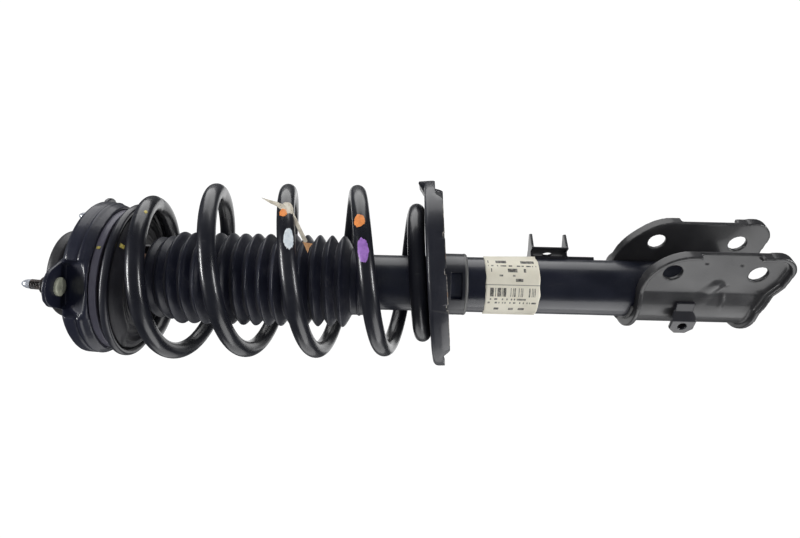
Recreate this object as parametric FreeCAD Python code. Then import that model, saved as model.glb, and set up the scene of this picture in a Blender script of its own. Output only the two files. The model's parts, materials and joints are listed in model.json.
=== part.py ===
import FreeCAD, Part
import math
import os

# MacPherson strut with its spring and top mount, millimetres.
# Z runs up the axis of the damper. The origin is where that axis meets the top face of the mount plate.
# X points to the side of the clevis ears, and Y lies across them.

# ---------------------------------------------------------------- driving dimensions
TUBE_R = 24.0               # outer radius of the damper tube
TUBE_WALL = 1.6
TUBE_TOP = -215.0
TUBE_BOTTOM = -553.0
ROD_R = 11.0
ROD_NECK_R = 6.0            # threaded neck that passes through the mount
CYLINDER_R = 16.0           # bore of the inner cylinder
CYLINDER_WALL = 1.3
RUNNING_FIT = 0.05          # radial clearance of sliding pairs
TRAVEL = 111.0              # from full extension to the bump stop

MOUNT_TILT = 5.3            # lean of the top mount and upper seat, degrees
MOUNT_TURN = 2.6            # turn of the stud pattern about Z, degrees
STUD_CIRCLE_R = 56.0
STUD_R = 4.0
STUD_KNURL_R = 4.3          # press-fit collar of each stud in the plate
STUD_HEIGHT = 25.0
LOBE_REACH = 75.0
LOBE_TIP_R = 16.0
PLATE_GAUGE = 3.2           # thickness of the mount plate
RIM_R = 65.6                # rim of the mount plate
SKIRT_END_R = 62.6
SKIRT_END_Z = -28.0

BALL_R = 3.0
BALL_CIRCLE_R = 37.0
BALL_Z = -25.0
BALL_COUNT = 24

SEAT_R = 66.5               # upper spring seat
SEAT_TOP = -37.3
SEAT_RIM_DEPTH = 6.8
SEAT_HOLE_R = 30.0

WIRE_R = 7.0                # coil spring
LOWER_TILT = -5.5           # lean of the lower seat, degrees
LOWER_SEAT_Z = -299.3
LOWER_SEAT_R = 79.0
LOWER_SEAT_SHIFT = 12.0     # the lower seat and spring sit to the ear side of the damper axis

BOOT_TOP = -60.0
BOOT_FIRST_FOLD = -83.3
BOOT_PITCH = 10.75
BOOT_FOLDS = 14
BOOT_PEAK_R = 40.0
BOOT_ROOT_R = 33.0
BOOT_WALL = 1.4
BOOT_BOTTOM = -241.0

SHEET = 3.5                 # gauge of the knuckle bracket
EAR_GAP = 36.5              # clear width between the ears
BOLT_R = 7.3                # knuckle bolt holes
BOLT_X = 37.5
BOLT_UPPER_Z = -490.0
BOLT_SPACING = 68.0
EAR_X = 57.5                # reach of the ears
BRACKET_TOP = -467.0
SADDLE_BOTTOM = -568.0
EAR_BOTTOM = -583.0
LIP = 5.0                   # height of the turned edge of the bracket

V = FreeCAD.Vector
Z_AXIS = V(0, 0, 1)
Y_AXIS = V(0, 1, 0)


# ---------------------------------------------------------------- helpers
def cylinder(radius, low, high, x=0.0, y=0.0):
    """Upright cylinder between two heights."""
    return Part.makeCylinder(radius, high - low, V(x, y, low))


def ring(outer, inner, low, high):
    """Upright ring between two heights."""
    return cylinder(outer, low, high).cut(cylinder(inner, low - 1, high + 1))


def turned(points):
    """Solid of revolution about Z from (radius, height) corners."""
    corners = [V(r, 0, z) for r, z in points]
    face = Part.Face(Part.makePolygon(corners + corners[:1]))
    return face.revolve(V(0, 0, 0), Z_AXIS, 360)


def prism(points, low, high):
    """Upright prism from (x, y) corners."""
    corners = [V(x, y, low) for x, y in points]
    face = Part.Face(Part.makePolygon(corners + corners[:1]))
    return face.extrude(V(0, 0, high - low))


def hexagon(across_flats, low, high):
    """Upright hexagonal prism on the axis."""
    corner = across_flats / math.sqrt(3)
    return prism([polar(corner, 60 * i) for i in range(6)], low, high)


def polar(radius, degrees):
    angle = math.radians(degrees)
    return radius * math.cos(angle), radius * math.sin(angle)


def about_z(shape, degrees):
    return shape.copy().rotate(V(0, 0, 0), Z_AXIS, degrees)


def leaned(shape, degrees=MOUNT_TILT, centre=V(0, 0, 0)):
    """Lean a shape towards +X about a centre on the axis."""
    return shape.copy().rotate(centre, Y_AXIS, degrees)


def joined(shapes):
    result = shapes[0].multiFuse(shapes[1:]) if len(shapes) > 1 else shapes[0]
    return result.removeSplitter()


def save(shape, name):
    """Write one node. Several solids stay separate solids in one compound."""
    solids = shape.Solids
    kept = solids[0] if len(solids) == 1 else Part.makeCompound(solids)
    assert kept.isValid(), name
    kept.exportStep("parts/" + name + ".step")
    print("%-22s solids %2d  volume %9.0f" % (name, len(solids), kept.Volume))


def lobe_angles():
    return [MOUNT_TURN - 60 + 120 * i for i in range(3)]


# ---------------------------------------------------------------- top mount
def lobes(low, high):
    """The three flat ears of the plate, one round each stud."""
    tip_centre = LOBE_REACH - LOBE_TIP_R
    web_x = tip_centre + 6.0
    web_y = LOBE_TIP_R * 0.92
    solids = []
    for angle in lobe_angles():
        tip = cylinder(LOBE_TIP_R, low, high, tip_centre)
        web = prism([(20, -30), (web_x, -web_y), (web_x, web_y), (20, 30)], low, high)
        solids.append(about_z(tip.fuse(web), angle))
    return solids


def plate_envelope(inset):
    """Outside of the pressed cup, or its inside when inset by the gauge."""
    top = -inset
    return turned([(0, top), (46 - inset, top), (RIM_R - inset - 3, -7 - inset), (RIM_R - inset, -10 - inset),
                   (RIM_R - inset, -20), (SKIRT_END_R - inset, SKIRT_END_Z - (1 if inset else 0)),
                   (0, SKIRT_END_Z - (1 if inset else 0))])


POCKET_ROOT_R = 46.0        # recess under each ear, where its floor meets the ear
POCKET_LOW_Z = -26.0
POCKET_FLARE = 0.45         # each side wall opens outwards by this share


def stud_pockets(inset):
    """Flared recesses with a sloping floor that leave the stud heads clear below each ear."""
    far = 90.0
    pockets = []
    for angle in lobe_angles():
        corners = [V(POCKET_ROOT_R - inset, 0, -PLATE_GAUGE), V(far, 0, -PLATE_GAUGE),
                   V(far, 0, POCKET_LOW_Z - 1), V(SKIRT_END_R - inset, 0, POCKET_LOW_Z)]
        face = Part.Face(Part.makePolygon(corners + corners[:1]))
        wedge = face.extrude(V(0, 2 * far, 0))
        wedge.translate(V(0, -far, 0))
        near_half = 13.0 + inset
        far_half = near_half + POCKET_FLARE * (far - 40)
        keystone = prism([(40, -near_half), (far, -far_half), (far, far_half), (40, near_half)], -40, 5)
        pockets.append(about_z(wedge.common(keystone), angle))
    return pockets


def mount_plate():
    inside = plate_envelope(PLATE_GAUGE).cut(stud_pockets(PLATE_GAUGE)[0])
    for pocket in stud_pockets(PLATE_GAUGE)[1:]:
        inside = inside.cut(pocket)
    shell = plate_envelope(0)
    for pocket in stud_pockets(0):
        shell = shell.cut(pocket)
    shell = shell.cut(inside)
    neck = ring(33.0, 30.0, -PLATE_GAUGE, 8.0)
    plate = joined([shell] + lobes(-PLATE_GAUGE, 0) + [neck])
    plate = plate.cut(cylinder(30.0, -20, 20))
    for angle in lobe_angles():
        x, y = polar(STUD_CIRCLE_R, angle)
        plate = plate.cut(cylinder(STUD_KNURL_R, -10, 5, x, y))
    return leaned(plate)


def mount_studs():
    """Three studs: round head under the plate, threaded shank, slim pilot tip."""
    head_r = 7.5
    profile = [(0, -PLATE_GAUGE - 2.4), (head_r - 1.2, -PLATE_GAUGE - 2.4), (head_r, -PLATE_GAUGE - 1.4),
               (head_r, -PLATE_GAUGE), (STUD_KNURL_R, -PLATE_GAUGE), (STUD_KNURL_R, 0), (STUD_R, 0.4),
               (STUD_R, 17), (3.0, 18.2), (3.0, 22),
               (1.6, STUD_HEIGHT), (0, STUD_HEIGHT)]
    studs = []
    for angle in lobe_angles():
        stud = turned(profile)
        x, y = polar(STUD_CIRCLE_R, angle)
        stud.translate(V(x, y, 0))
        studs.append(leaned(stud))
    return Part.makeCompound(studs)


def dust_cap():
    """Round cap that covers the rod nut."""
    return leaned(turned([(0, 19.6), (31, 19.6), (36.2, 18.2), (38, 15.5), (38, 9.4), (36.8, 8), (33, 8),
                          (33, 9.6), (35.4, 10.4), (35.4, 15), (33, 17.4), (0, 17.4)]))


RUBBER_LOW = -14.0


def mount_rubber():
    """Rubber ring between the plate and the inner sleeve, flat below and leaning with the plate above."""
    upper = leaned(joined([cylinder(42.0, -30, -PLATE_GAUGE), cylinder(30.0, -10, 5.4)]))
    keep = cylinder(60, RUBBER_LOW, 30)
    return upper.common(keep).cut(cylinder(12.5, -40, 40))


def mount_sleeve():
    return ring(12.5, ROD_NECK_R, RUBBER_LOW, 7.5)


def rod_washer():
    return ring(16.0, ROD_NECK_R, 7.5, 9.5)


def rod_nut():
    nut = hexagon(19.0, 9.5, 15.5).common(turned([(0, 9.5), (11, 9.5), (11, 14.4), (9.6, 15.5), (0, 15.5)]))
    return nut.cut(cylinder(ROD_NECK_R, 0, 20))


def ball_groove(radius):
    return Part.makeTorus(BALL_CIRCLE_R, radius, V(0, 0, BALL_Z))


RACE_INNER_R = 31.0
RACE_OUTER_R = 43.0
RACE_GAP = 1.6


def upper_bearing_race():
    return ring(RACE_OUTER_R, RACE_INNER_R, BALL_Z + RACE_GAP, RUBBER_LOW).cut(ball_groove(BALL_R + 0.3))


def lower_bearing_race():
    """Lower race, wedge shaped below to sit on the leaning spring seat."""
    race = ring(RACE_OUTER_R, RACE_INNER_R, -50, BALL_Z - RACE_GAP)
    above_seat = leaned(cylinder(90, SEAT_TOP, 20))
    return race.common(above_seat).cut(ball_groove(BALL_R + 0.3))


def ball_cage():
    cage = ring(BALL_CIRCLE_R + 4.5, BALL_CIRCLE_R - 4.5, BALL_Z - 1.1, BALL_Z + 1.1)
    for i in range(BALL_COUNT):
        x, y = polar(BALL_CIRCLE_R, 360 * i / BALL_COUNT)
        cage = cage.cut(cylinder(BALL_R + 0.2, -40, 0, x, y))
    return cage


def bearing_balls():
    balls = []
    for i in range(BALL_COUNT):
        x, y = polar(BALL_CIRCLE_R, 360 * i / BALL_COUNT)
        balls.append(Part.makeSphere(BALL_R, V(x, y, BALL_Z)))
    return Part.makeCompound(balls)


def bearing_cover():
    """Plastic cover that closes the bearing inside the skirt of the plate."""
    return leaned(turned([(48, -30.6), (57.6, -30.6), (57.6, -33), (60, -33), (60, -27.6), (59, -28.2),
                          (48, -28.2)]))


def bump_stop_cup():
    return turned([(ROD_NECK_R + 5.1, RUBBER_LOW - 2.5), (ROD_NECK_R + 5.1, RUBBER_LOW - 0.1),
                   (24, RUBBER_LOW - 0.1), (24, -30), (22.2, -30), (22.2, RUBBER_LOW - 2.5)])


BUMP_STOP_LOW = TUBE_TOP + TRAVEL + 0.5


def bump_stop():
    """Foam bumper with three waists."""
    top = RUBBER_LOW - 2.5
    height = top - BUMP_STOP_LOW
    outline = [(ROD_R + 0.4, BUMP_STOP_LOW), (14.5, BUMP_STOP_LOW), (17.0, BUMP_STOP_LOW + 6)]
    for step in range(1, 4):
        z = BUMP_STOP_LOW + height * step / 4
        outline += [(17.5 + step, z - 5), (15.5 + step, z), (17.5 + step, z + 5)]
    outline += [(22.0, top - 6), (22.0, top), (ROD_R + 0.4, top)]
    return turned(outline)


PISTON_TOP = -268.0
REBOUND_TOP = -252.4


def piston_rod():
    return turned([(0, PISTON_TOP - 32), (6, PISTON_TOP - 32), (6, PISTON_TOP), (ROD_R, PISTON_TOP),
                   (ROD_R, RUBBER_LOW), (ROD_NECK_R, RUBBER_LOW), (ROD_NECK_R, 16.0), (ROD_NECK_R - 1, 17.0),
                   (0, 17.0)])


def piston():
    return ring(CYLINDER_R - RUNNING_FIT, 6.0, PISTON_TOP - 22, PISTON_TOP)


def piston_nut():
    return hexagon(17.0, PISTON_TOP - 30, PISTON_TOP - 22).cut(cylinder(6.0, -400, 0))


def rebound_stop():
    return ring(14.5, ROD_R, PISTON_TOP, REBOUND_TOP)


# ---------------------------------------------------------------- upper seat, spring and boot
def upper_spring_seat():
    """Dished pan with a rolled rim and a short neck."""
    low = SEAT_TOP - SEAT_RIM_DEPTH
    return leaned(turned([(SEAT_HOLE_R, SEAT_TOP), (60, SEAT_TOP), (63.5, SEAT_TOP + 0.1), (65.8, SEAT_TOP - 1.4),
                          (SEAT_R, SEAT_TOP - 3.4), (65.8, low + 1.2), (63.6, low), (61.4, low + 1.2),
                          (59.5, SEAT_TOP - 2.4), (SEAT_HOLE_R + 2.2, SEAT_TOP - 2.4),
                          (SEAT_HOLE_R + 2.2, low - 3), (SEAT_HOLE_R, low - 3)]))


def upper_insulator():
    """Rubber pad with raised rings where the spring bears."""
    floor = SEAT_TOP - 2.4
    face = SEAT_TOP - SEAT_RIM_DEPTH
    outline = [(SEAT_HOLE_R + 2.2, floor), (59.4, floor), (59.4, face + 0.6)]
    for radius in (54, 47, 40):
        outline += [(radius + 2.4, face + 0.6), (radius, face - 0.4), (radius - 2.4, face + 0.6)]
    outline += [(SEAT_HOLE_R + 2.2, face + 0.6)]
    pad = turned(outline)
    thick = turned([(33.5, face + 1), (57, face + 1), (56, face - 3.4), (52, face - 6.4), (36, face - 4.9),
                    (33.5, face - 2)])
    sector = prism([(0, 0), polar(120, 20), polar(170, -50), polar(120, -120)], -60, -30)
    return leaned(joined([pad, thick.common(sector)]))


# The spring is measured by the angle travelled from the point where coil one leaves the upper seat.
SPRING_START = -165.0
SPRING_FREE_TURNS = 4
SPRING_END = 360.0 * SPRING_FREE_TURNS + 250.0
SPRING_PHASE = 40.6         # direction in which coil one leaves the seat
UPPER_WIRE_Z = SEAT_TOP - SEAT_RIM_DEPTH - WIRE_R - 0.5
LOWER_WIRE_Z = LOWER_SEAT_Z + 1.5 + WIRE_R + 0.8


def between(value, stations):
    """Smooth value at an angle from (angle, value) stations."""
    if value <= stations[0][0]:
        return stations[0][1]
    for (a0, v0), (a1, v1) in zip(stations, stations[1:]):
        if value <= a1:
            t = (value - a0) / (a1 - a0)
            t = t * t * (3 - 2 * t)
            return v0 + (v1 - v0) * t
    return stations[-1][1]


def spring_point(angle):
    """Centre of the wire at an angle along the spring."""
    free = 360.0 * SPRING_FREE_TURNS
    radius = between(angle, [(SPRING_START, 55.0), (0, 64.0), (180, 65.0), (400, 67.5), (1180, 67.0),
                             (1440, 54.0), (SPRING_END, 49.5)])
    shift = between(angle, [(SPRING_START, -4.0), (100, 1.3), (430, 10.5), (1200, 11.8), (1440, 10.0)])
    x, y = polar(radius, SPRING_PHASE - angle)
    x += shift
    t = min(max(angle / free, 0.0), 1.0)
    share = t + 0.016 * math.sin(math.pi * t)
    lean_up = math.tan(math.radians(MOUNT_TILT)) * between(angle, [(0, 1.0), (250, 0.0)])
    lean_down = math.tan(math.radians(-LOWER_TILT)) * between(angle, [(free - 250, 0.0), (free, 1.0)])
    z = UPPER_WIRE_Z + (LOWER_WIRE_Z - UPPER_WIRE_Z) * share - lean_up * x + lean_down * x
    return V(x, y, z)


def coil_spring():
    step = 22.5
    count = int(round((SPRING_END - SPRING_START) / step))
    points = [spring_point(SPRING_START + (SPRING_END - SPRING_START) * i / count) for i in range(count + 1)]
    curve = Part.BSplineCurve()
    curve.interpolate(points)
    path = Part.Wire(curve.toShape())
    start = curve.tangent(curve.FirstParameter)[0]
    section = Part.Wire(Part.makeCircle(WIRE_R, points[0], start))
    pipe = Part.BRepOffsetAPI.MakePipeShell(path)
    pipe.setFrenetMode(False)
    pipe.add(section)
    pipe.build()
    pipe.makeSolid()
    return pipe.shape()


def dust_boot():
    """Bellows: two small rings, the folds, and a collar that grips the tube."""
    outer = [(BOOT_ROOT_R - 1, BOOT_TOP), (35.5, BOOT_TOP - 4), (BOOT_ROOT_R - 1, BOOT_TOP - 9),
             (36.5, BOOT_TOP - 13), (BOOT_ROOT_R, BOOT_TOP - 17.5)]
    for fold in range(BOOT_FOLDS):
        z = BOOT_FIRST_FOLD - BOOT_PITCH * fold
        outer += [(BOOT_PEAK_R, z), (BOOT_ROOT_R, z - BOOT_PITCH / 2)]
    last = BOOT_FIRST_FOLD - BOOT_PITCH * (BOOT_FOLDS - 1) - BOOT_PITCH / 2
    outer += [(29.0, last - 2), (29.0, last - 7), (30.2, last - 8.5), (29.0, last - 10), (29.0, BOOT_BOTTOM)]
    collar = TUBE_R + 0.4
    inner = [(collar, BOOT_BOTTOM), (collar, last - 1)]
    inner += [(r - BOOT_WALL, z) for r, z in reversed(outer[:-6])]
    return turned(outer + inner)


# ---------------------------------------------------------------- damper
def outer_tube():
    return ring(TUBE_R, TUBE_R - TUBE_WALL, TUBE_BOTTOM, TUBE_TOP - 6)


def gland_cap():
    """Rolled end of the tube over the seal."""
    return turned([(ROD_R + 0.4, TUBE_TOP - 3), (ROD_R + 0.4, TUBE_TOP), (TUBE_R - 2, TUBE_TOP),
                   (TUBE_R, TUBE_TOP - 2), (TUBE_R, TUBE_TOP - 6), (TUBE_R - TUBE_WALL, TUBE_TOP - 6),
                   (TUBE_R - TUBE_WALL, TUBE_TOP - 3)])


SEAL_LOW = TUBE_TOP - 12.0
GUIDE_LOW = SEAL_LOW - 19.0
SPIGOT_LOW = GUIDE_LOW - 6.0


def oil_seal():
    return ring(TUBE_R - TUBE_WALL, ROD_R + RUNNING_FIT, SEAL_LOW, TUBE_TOP - 3)


def rod_guide():
    bore = ROD_R + RUNNING_FIT
    return turned([(bore, SPIGOT_LOW), (CYLINDER_R, SPIGOT_LOW), (CYLINDER_R, GUIDE_LOW),
                   (TUBE_R - TUBE_WALL, GUIDE_LOW), (TUBE_R - TUBE_WALL, SEAL_LOW), (bore, SEAL_LOW)])


def inner_cylinder():
    return ring(CYLINDER_R + CYLINDER_WALL, CYLINDER_R, TUBE_BOTTOM + 10, GUIDE_LOW)


def base_valve():
    """Foot valve in the lower end of the inner cylinder."""
    low = TUBE_BOTTOM + 3
    return turned([(0, low), (17.3, low), (17.3, low + 7), (CYLINDER_R, low + 7), (CYLINDER_R, low + 15),
                   (5, low + 15), (5, low + 19), (0, low + 19)])


def base_cap():
    return turned([(0, TUBE_BOTTOM - 3.5), (12, TUBE_BOTTOM - 3), (20, TUBE_BOTTOM - 1), (TUBE_R, TUBE_BOTTOM),
                   (TUBE_R - TUBE_WALL, TUBE_BOTTOM), (TUBE_R - TUBE_WALL, TUBE_BOTTOM + 3), (0, TUBE_BOTTOM + 3)])


# ---------------------------------------------------------------- lower seat
LOWER_CENTRE = V(0, 0, LOWER_SEAT_Z)


def on_lower_seat(shape):
    """Move a shape made about the origin to the shifted, leaning lower seat."""
    placed = shape.copy()
    placed.translate(V(LOWER_SEAT_SHIFT, 0, LOWER_SEAT_Z))
    return leaned(placed, LOWER_TILT, LOWER_CENTRE)


def lower_spring_seat():
    """Round tray with a turned-down edge and a sunk middle that ends at the tube."""
    tray = on_lower_seat(turned([(0, 1.5), (76, 1.5), (LOWER_SEAT_R, -0.5), (LOWER_SEAT_R, -7), (76.4, -7),
                                 (76.4, -1.7), (60, -1.7), (44, -12), (0, -12)]))
    hollow = on_lower_seat(turned([(0, 5), (0, -9.5), (42.6, -9.5), (36, 1.6), (36, 5)]))
    well = hollow.common(cylinder(37, LOWER_SEAT_Z - 40, LOWER_SEAT_Z + 20))
    return tray.cut(well).cut(cylinder(TUBE_R, -400, -200))


COLLAR_R = 26.6
COLLAR_LOW = -327.0


def seat_collar():
    """Neck under the tray that grips the tube, with a window on the side of the label."""
    collar = ring(COLLAR_R, TUBE_R, COLLAR_LOW, LOWER_SEAT_Z - 4)
    under_tray = on_lower_seat(cylinder(120, -60, -12))
    window = about_z(Part.makeBox(20, 22, 9, V(18, -11, COLLAR_LOW + 3.5)), SPRING_PHASE - 92)
    return collar.common(under_tray).cut(window)


def lower_insulator():
    """Thin rubber pad under the last coil, open between its two ends."""
    pad = turned([(41.5, 1.5), (60, 1.5), (60, 1.9), (41.5, 1.9)])
    sector = prism([(0, 0), polar(120, -150), polar(170, -75), polar(170, 15), polar(120, 90)], -5, 10)
    return on_lower_seat(pad.common(sector))


# ---------------------------------------------------------------- brackets
def ear_outline():
    """Outline of the bracket seen from the side, in X and Z."""
    top, low = BRACKET_TOP, SADDLE_BOTTOM
    start = V(-40, 0, top)
    run_in = V(22, 0, top)
    shoulder = V(47, 0, top - 9)
    crown = V(EAR_X, 0, top - 32)
    heel = V(EAR_X, 0, EAR_BOTTOM + 23)
    toe = V(43, 0, EAR_BOTTOM)
    foot = V(28, 0, EAR_BOTTOM + 2)
    sole = V(4, 0, low)
    end = V(-40, 0, low)
    edges = [Part.makeLine(start, run_in), Part.Arc(run_in, shoulder, crown).toShape(), Part.makeLine(crown, heel),
             Part.Arc(heel, V(54, 0, EAR_BOTTOM + 6), toe).toShape(), Part.makeLine(toe, foot),
             Part.makeLine(foot, sole), Part.makeLine(sole, end), Part.makeLine(end, start)]
    return Part.Wire(edges)


def side_prism(wire, half_width):
    face = Part.Face(wire)
    solid = face.extrude(V(0, 2 * half_width, 0))
    solid.translate(V(0, -half_width, 0))
    return solid


def knuckle_bracket():
    """Sheet wrapped round the tube and carried on as two parallel ears with turned edges."""
    outer_y = EAR_GAP / 2 + SHEET
    low, high = EAR_BOTTOM - 5, BRACKET_TOP + 5
    wrap = ring(TUBE_R + SHEET, TUBE_R, low, high)
    ears = Part.makeBox(90, 2 * outer_y, high - low, V(0, -outer_y, low))
    slot = Part.makeBox(90, EAR_GAP, high - low + 2, V(0, -EAR_GAP / 2, low - 1))
    sheet = wrap.fuse(ears).cut(slot).cut(cylinder(TUBE_R, low - 1, high + 1))
    outline = ear_outline()
    body = sheet.common(side_prism(outline, 60))
    lip_y = outer_y + LIP
    wide_wrap = cylinder(TUBE_R + SHEET + LIP, low, high)
    wide_ears = Part.makeBox(90, 2 * lip_y, high - low, V(0, -lip_y, low))
    slot_full = slot.fuse(cylinder(TUBE_R, low - 1, high + 1))
    wide = wide_wrap.fuse(wide_ears).cut(slot_full).common(side_prism(outline, 60))
    core = side_prism(outline.makeOffset2D(-SHEET), 60)
    lip = wide.cut(core).cut(sheet)
    gap_low, gap_high = BOLT_UPPER_Z - 62, BOLT_UPPER_Z - 16
    notch = Part.makeBox(30, 120, gap_high - gap_low, V(EAR_X - 12, -60, gap_low))
    lip = lip.cut(notch).cut(Part.makeBox(60, 120, 200, V(-100, -60, -600)))
    bracket = joined([body] + lip.Solids)
    for z in (BOLT_UPPER_Z, BOLT_UPPER_Z - BOLT_SPACING):
        bracket = bracket.cut(Part.makeCylinder(BOLT_R, 120, V(BOLT_X, -60, z), Y_AXIS))
    return bracket


HOSE_BRACKET_AT = 62.0      # direction of the hose bracket
HOSE_TOP = -386.0
HOSE_LOW = -418.0
HOSE_FOOT = -441.0


def hose_bracket():
    """Back plate welded to the tube with two pointed ears and a long foot."""
    gauge = 2.0
    stand_off = TUBE_R + 6
    sunk = TUBE_R - 3
    back = Part.makeBox(gauge, 26, HOSE_TOP - HOSE_LOW, V(stand_off, -13, HOSE_LOW))
    foot = Part.makeBox(TUBE_R + gauge - sunk, 14, HOSE_TOP - HOSE_FOOT, V(sunk, -7, HOSE_FOOT))
    rungs = [Part.makeBox(stand_off - sunk + 1, 14, gauge, V(sunk, -7, z)) for z in (HOSE_TOP - gauge, HOSE_LOW)]
    ears = []
    for z in (HOSE_TOP - gauge, HOSE_LOW):
        ears.append(prism([(stand_off, -13), (TUBE_R + 22, -9), (TUBE_R + 24, -4), (TUBE_R + 12, 4),
                           (stand_off, 13)], z, z + gauge))
    bracket = joined([back, foot] + rungs + ears).cut(cylinder(TUBE_R, -500, -300))
    hole = Part.makeCylinder(4.0, 4, V(stand_off - 1, 0, (HOSE_TOP + HOSE_LOW) / 2), V(1, 0, 0))
    return about_z(bracket.cut(hole), HOSE_BRACKET_AT)


SENSOR_Z = -507.0
SENSOR_X = -8.0
SENSOR_FACE_Y = -36.8


def sensor_bracket():
    """Cranked strap on the saddle with a hole over a weld nut."""
    gauge = 3.0
    width = 20.0
    face = SENSOR_FACE_Y
    inner = [(11, -26.2), (4, -27.0), (-1, face + gauge), (-16, face + gauge)]
    outer = [(-16, face), (-2, face), (3, -30.6), (11, -29.0)]
    strap = prism(inner + outer, SENSOR_Z - width / 2, SENSOR_Z + width / 2)
    strap = strap.cut(cylinder(TUBE_R + SHEET, -600, -400))
    outline = [(20, -7.5), (4, -7.5), (0, -10), (-11, -10), (-16, -4.5), (-16, 4.5), (-11, 10), (0, 10), (4, 7.5),
               (20, 7.5), (20, -7.5)]
    trimmed = Part.makePolygon([V(x, 0, SENSOR_Z + z) for x, z in outline])
    strap = strap.common(side_prism(trimmed, 60))
    hole = Part.makeCylinder(3.4, 20, V(SENSOR_X, -45, SENSOR_Z), Y_AXIS)
    return strap.cut(hole)


def weld_nut():
    nut = hexagon(12.0, 0, 5.6).cut(cylinder(3.4, -1, 8))
    nut.rotate(V(0, 0, 0), V(1, 0, 0), 90)
    nut.translate(V(SENSOR_X, SENSOR_FACE_Y + 8.7, SENSOR_Z))
    return nut


def weld_beads():
    """Fillet welds: round the seat collar and along the saddle edges."""
    seat_bead = Part.makeTorus(TUBE_R + 0.9, 1.9, V(0, 0, COLLAR_LOW)).cut(cylinder(TUBE_R, -400, -300))
    seat_bead = seat_bead.cut(ring(COLLAR_R, TUBE_R - 1, COLLAR_LOW, COLLAR_LOW + 5))
    saddle = Part.makeTorus(TUBE_R + 0.7, 1.8, V(0, 0, BRACKET_TOP), Z_AXIS)
    saddle = saddle.cut(cylinder(TUBE_R, -500, -400)).cut(Part.makeBox(80, 80, 20, V(2, -40, BRACKET_TOP - 10)))
    saddle = saddle.cut(Part.makeBox(80, 80, 20, V(-40, -40, BRACKET_TOP - 20)))
    return Part.makeCompound([seat_bead, saddle])


def label():
    """Thin sticker on the tube."""
    high, low = -343.5, -388.5
    sticker = ring(TUBE_R + 0.35, TUBE_R + 0.05, low, high)
    wedge = prism([(0, 0)] + [polar(60, a) for a in (-134, -90, -50, -5, 36)], low - 1, high + 1)
    return sticker.common(wedge)


# ---------------------------------------------------------------- build
NODES = [mount_plate, mount_rubber, mount_sleeve, mount_studs, dust_cap, rod_nut, rod_washer,
         upper_bearing_race, bearing_cover, bump_stop_cup, bump_stop, piston_rod, piston, piston_nut,
         rebound_stop, ball_cage, bearing_balls, lower_bearing_race, upper_spring_seat, upper_insulator,
         coil_spring, dust_boot, outer_tube, gland_cap, oil_seal, rod_guide, inner_cylinder, base_valve,
         base_cap, lower_spring_seat, seat_collar, lower_insulator, knuckle_bracket, hose_bracket,
         sensor_bracket, weld_nut, weld_beads, label]

os.makedirs("parts", exist_ok=True)
for make in NODES:
    save(make(), make.__name__)
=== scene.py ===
import json
import math
import random

import bmesh
import bpy
from mathutils import Matrix, Vector, noise

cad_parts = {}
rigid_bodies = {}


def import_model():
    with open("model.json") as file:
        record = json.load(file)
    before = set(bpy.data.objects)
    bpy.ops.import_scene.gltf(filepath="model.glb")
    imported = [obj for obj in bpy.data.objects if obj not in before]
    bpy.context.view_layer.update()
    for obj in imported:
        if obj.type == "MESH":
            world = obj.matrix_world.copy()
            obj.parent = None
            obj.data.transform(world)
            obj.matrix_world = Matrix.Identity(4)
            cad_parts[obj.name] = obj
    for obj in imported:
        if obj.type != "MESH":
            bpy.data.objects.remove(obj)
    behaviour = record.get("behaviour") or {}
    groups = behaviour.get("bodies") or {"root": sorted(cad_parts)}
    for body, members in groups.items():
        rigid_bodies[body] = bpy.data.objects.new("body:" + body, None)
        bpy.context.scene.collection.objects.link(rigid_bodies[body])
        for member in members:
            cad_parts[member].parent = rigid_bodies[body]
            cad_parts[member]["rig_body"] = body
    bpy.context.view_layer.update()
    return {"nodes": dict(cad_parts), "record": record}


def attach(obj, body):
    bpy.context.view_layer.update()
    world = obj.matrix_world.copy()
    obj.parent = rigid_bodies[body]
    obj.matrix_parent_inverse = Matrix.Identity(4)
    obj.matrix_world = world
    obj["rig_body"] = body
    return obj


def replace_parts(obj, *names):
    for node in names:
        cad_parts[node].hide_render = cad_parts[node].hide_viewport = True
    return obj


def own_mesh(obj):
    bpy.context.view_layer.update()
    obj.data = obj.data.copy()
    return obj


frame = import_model()
nodes = frame["nodes"]
scene = bpy.context.scene
scene.view_settings.view_transform = "Standard"

MM = 0.001

# ------------------------------------------------------------ sizes shared with the CAD model, millimetres
TUBE_R = 24.0
TUBE_TOP = -215.0
TUBE_BOTTOM = -553.0
MOUNT_TILT = 5.3
MOUNT_TURN = 2.6
STUD_CIRCLE_R = 56.0
PLATE_GAUGE = 3.2
SEAT_TOP = -37.3
SEAT_RIM_DEPTH = 6.8
SEAT_HOLE_R = 30.0
WIRE_R = 7.0
LOWER_TILT = -5.5
LOWER_SEAT_Z = -299.3
LOWER_SEAT_R = 79.0
LOWER_SEAT_SHIFT = 12.0
BOOT_TOP = -60.0
BOOT_FIRST_FOLD = -83.3
BOOT_PITCH = 10.75
BOOT_FOLDS = 14
BOOT_PEAK_R = 40.0
BOOT_ROOT_R = 33.0
BOOT_BOTTOM = -241.0

SPRING_START = -165.0
SPRING_FREE = 1440.0
SPRING_END = 1690.0
SPRING_PHASE = 40.6
UPPER_WIRE_Z = SEAT_TOP - SEAT_RIM_DEPTH - WIRE_R - 0.5
LOWER_WIRE_Z = LOWER_SEAT_Z + 1.5 + WIRE_R + 0.8

LEAN = Matrix.Rotation(math.radians(MOUNT_TILT), 4, "Y")
LOWER_LEAN = (Matrix.Translation((0, 0, LOWER_SEAT_Z)) @ Matrix.Rotation(math.radians(LOWER_TILT), 4, "Y")
              @ Matrix.Translation((LOWER_SEAT_SHIFT, 0, 0)))


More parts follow.
